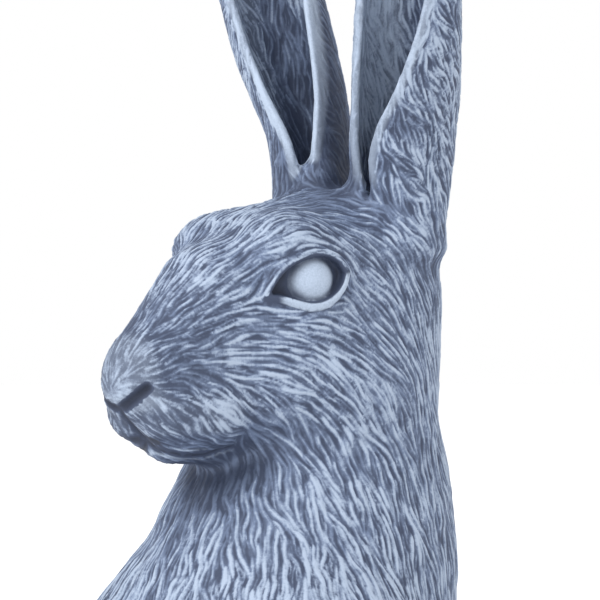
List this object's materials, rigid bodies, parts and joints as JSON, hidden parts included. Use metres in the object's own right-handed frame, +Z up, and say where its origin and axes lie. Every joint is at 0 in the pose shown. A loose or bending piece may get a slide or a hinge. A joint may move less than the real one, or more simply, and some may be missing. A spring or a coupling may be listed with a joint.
{
  "type": "rabbit bust figurine",
  "caption": "Cast resin bust of a rabbit looking ahead, with tall upright cupped ears, almond eyes and carved fur, cut flat below the chest to stand on a shelf.",
  "frame": {"origin": "on the flat underside, below the middle of the bounding box in X and Y", "axes": "-Y is the way the rabbit looks, +X is towards its left ear and +Z is up, along the ears"},
  "size_m": [0.0733, 0.0862, 0.164],
  "materials": {
    "resin": "matt cast resin, slate-blue wash in the carved grooves, pale blue-grey dry-brushed ridges"
  },
  "bodies": {
    "root": {"rabbit": "resin"}
  },
  "joints": []
}
